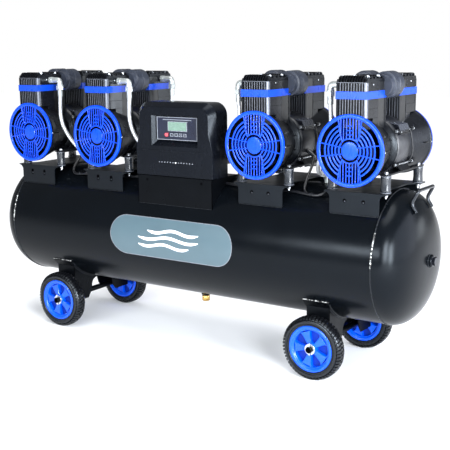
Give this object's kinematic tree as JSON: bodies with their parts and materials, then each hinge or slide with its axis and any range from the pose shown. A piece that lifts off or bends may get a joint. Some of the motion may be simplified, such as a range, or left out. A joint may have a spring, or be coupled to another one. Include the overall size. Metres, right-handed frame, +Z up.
{
  "type": "air compressor",
  "caption": "Wheeled horizontal air tank carrying a row of twin-head oil-free electric pumps with slotted fan covers, braided air hoses and a central control box with display and buttons.",
  "frame": {"origin": "centre of the footprint on the ground, midway between the tank's ends and between its wheels", "axes": "+X along the tank towards the end with the carrying handle, -Y the front with the control panel, +Z up"},
  "size_m": [1.6708, 0.425, 0.9272],
  "materials": {
    "black_paint": "satin powder coat",
    "blue_plastic": "gloss",
    "black_plastic": "fine-grained, half gloss",
    "cast_black": "black-painted die casting",
    "rubber": "matte",
    "steel": "plated, half gloss",
    "steel_braid": "woven braid with nickel-plated ends",
    "panel_navy": "satin printed film",
    "red_plastic": "satin"
  },
  "bodies": {
    "chassis": {"air_line_centre": "steel_braid", "air_line_left": "steel_braid", "air_line_right": "steel_braid", "axle_frame_left": "black_paint", "axle_frame_right": "black_paint", "control_base": "black_paint", "control_cover": "black_plastic", "display_panel": "panel_navy", "end_plug_left": "black_paint", "end_plug_right": "black_paint", "fan_cover_front_1": "blue_plastic", "fan_cover_front_2": "blue_plastic", "fan_cover_front_3": "blue_plastic", "fan_cover_front_4": "blue_plastic", "fan_cover_rear_1": "blue_plastic", "fan_cover_rear_2": "blue_plastic", "fan_cover_rear_3": "blue_plastic", "fan_cover_rear_4": "blue_plastic", "handle_right": "black_paint", "head_front_1": "cast_black", "head_front_2": "cast_black", "head_front_3": "cast_black", "head_front_4": "cast_black", "head_rear_1": "cast_black", "head_rear_2": "cast_black", "head_rear_3": "cast_black", "head_rear_4": "cast_black", "motor_1": "cast_black", "motor_2": "cast_black", "motor_3": "cast_black", "motor_4": "cast_black", "outlet_valve": "steel", "pump_bracket_1": "black_paint", "pump_bracket_2": "black_paint", "pump_bracket_3": "black_paint", "pump_bracket_4": "black_paint", "safety_valve": "steel", "tank": "black_paint", "wiring_left": "black_plastic", "wiring_right": "black_plastic"},
    "wheel_front_left": {"tyre_front_left": "rubber", "hub_front_left": "blue_plastic"},
    "wheel_front_right": {"tyre_front_right": "rubber", "hub_front_right": "blue_plastic"},
    "wheel_rear_left": {"tyre_rear_left": "rubber", "hub_rear_left": "blue_plastic"},
    "wheel_rear_right": {"tyre_rear_right": "rubber", "hub_rear_right": "blue_plastic"},
    "motor_shaft_1": {"rotor_1": "black_plastic"},
    "motor_shaft_2": {"rotor_2": "black_plastic"},
    "motor_shaft_3": {"rotor_3": "black_plastic"},
    "motor_shaft_4": {"rotor_4": "black_plastic"},
    "power_button": {"button_power": "red_plastic"},
    "menu_button": {"button_menu": "black_plastic"},
    "up_button": {"button_up": "black_plastic"},
    "down_button": {"button_down": "black_plastic"},
    "enter_button": {"button_enter": "black_plastic"},
    "outlet_handle": {"outlet_lever": "red_plastic"},
    "relief_ring": {"safety_ring": "steel"},
    "drain_tap": {"drain_knob": "steel"}
  },
  "joints": [
    {"name": "wheel_front_left_spin", "type": "hinge", "parent": "chassis", "child": "wheel_front_left", "pos_m": [-0.522, -0.1784, 0.1], "axis": [0, 1, 0], "continuous": true},
    {"name": "wheel_front_right_spin", "type": "hinge", "parent": "chassis", "child": "wheel_front_right", "pos_m": [0.522, -0.1784, 0.1], "axis": [0, 1, 0], "continuous": true},
    {"name": "wheel_rear_left_spin", "type": "hinge", "parent": "chassis", "child": "wheel_rear_left", "pos_m": [-0.522, 0.1784, 0.1], "axis": [0, 1, 0], "continuous": true},
    {"name": "wheel_rear_right_spin", "type": "hinge", "parent": "chassis", "child": "wheel_rear_right", "pos_m": [0.522, 0.1784, 0.1], "axis": [0, 1, 0], "continuous": true},
    {"name": "motor_shaft_1_spin", "type": "hinge", "parent": "chassis", "child": "motor_shaft_1", "pos_m": [-0.637, 0, 0.707], "axis": [0, 1, 0], "continuous": true},
    {"name": "motor_shaft_2_spin", "type": "hinge", "parent": "chassis", "child": "motor_shaft_2", "pos_m": [-0.317, 0, 0.707], "axis": [0, 1, 0], "continuous": true},
    {"name": "motor_shaft_3_spin", "type": "hinge", "parent": "chassis", "child": "motor_shaft_3", "pos_m": [0.317, 0, 0.707], "axis": [0, 1, 0], "continuous": true},
    {"name": "motor_shaft_4_spin", "type": "hinge", "parent": "chassis", "child": "motor_shaft_4", "pos_m": [0.637, 0, 0.707], "axis": [0, 1, 0], "continuous": true},
    {"name": "power_press", "type": "slide", "parent": "chassis", "child": "power_button", "axis": [0, 1, 0], "range_m": [0, 0.001], "stiffness_N_per_m": 300},
    {"name": "menu_press", "type": "slide", "parent": "chassis", "child": "menu_button", "axis": [0, 1, 0], "range_m": [0, 0.001], "stiffness_N_per_m": 300},
    {"name": "up_press", "type": "slide", "parent": "chassis", "child": "up_button", "axis": [0, 1, 0], "range_m": [0, 0.001], "stiffness_N_per_m": 300},
    {"name": "down_press", "type": "slide", "parent": "chassis", "child": "down_button", "axis": [0, 1, 0], "range_m": [0, 0.001], "stiffness_N_per_m": 300},
    {"name": "enter_press", "type": "slide", "parent": "chassis", "child": "enter_button", "axis": [0, 1, 0], "range_m": [0, 0.001], "stiffness_N_per_m": 300},
    {"name": "outlet_turn", "type": "hinge", "parent": "chassis", "child": "outlet_handle", "pos_m": [0, 0.1188, 0.612], "axis": [0, 1, 0], "range_deg": [-90, 0]},
    {"name": "relief_pull", "type": "slide", "parent": "chassis", "child": "relief_ring", "axis": [0, 0, 1], "range_m": [0, 0.004], "stiffness_N_per_m": 800},
    {"name": "drain_turn", "type": "hinge", "parent": "chassis", "child": "drain_tap", "pos_m": [0, 0, 0.1475], "axis": [0, 0, 1], "range_deg": [0, 360]}
  ]
}
